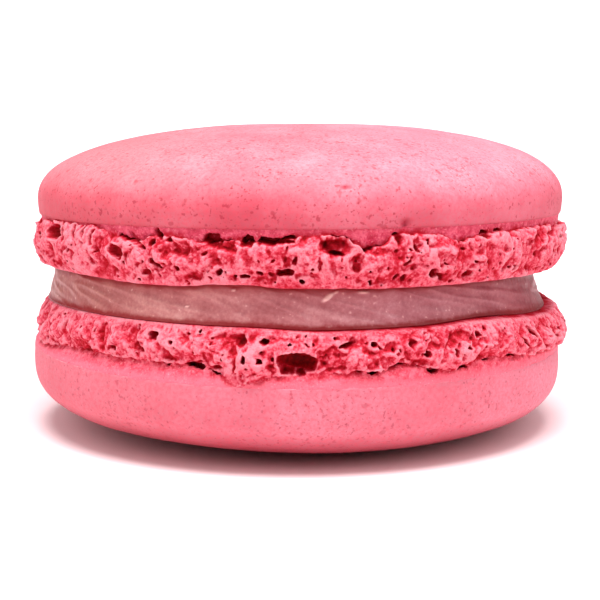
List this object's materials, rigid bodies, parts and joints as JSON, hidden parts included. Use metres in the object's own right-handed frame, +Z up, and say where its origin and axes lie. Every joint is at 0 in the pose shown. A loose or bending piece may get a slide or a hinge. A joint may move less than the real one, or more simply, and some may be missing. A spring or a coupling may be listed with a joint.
{
  "type": "french macaron",
  "caption": "Round almond meringue sandwich biscuit with smooth domed pink shells, ruffled feet and a band of soft mauve filling.",
  "frame": {"origin": "on the ground under the middle of the macaron's box", "axes": "+Z up through the stacked shells, front towards -Y, +X to the right"},
  "size_m": [0.0462, 0.046, 0.0255],
  "materials": {
    "crust": "matt baked meringue",
    "cream": "soft satin cream"
  },
  "bodies": {
    "root": {"lower_shell": "crust", "filling": "cream", "upper_shell": "crust"}
  },
  "joints": []
}
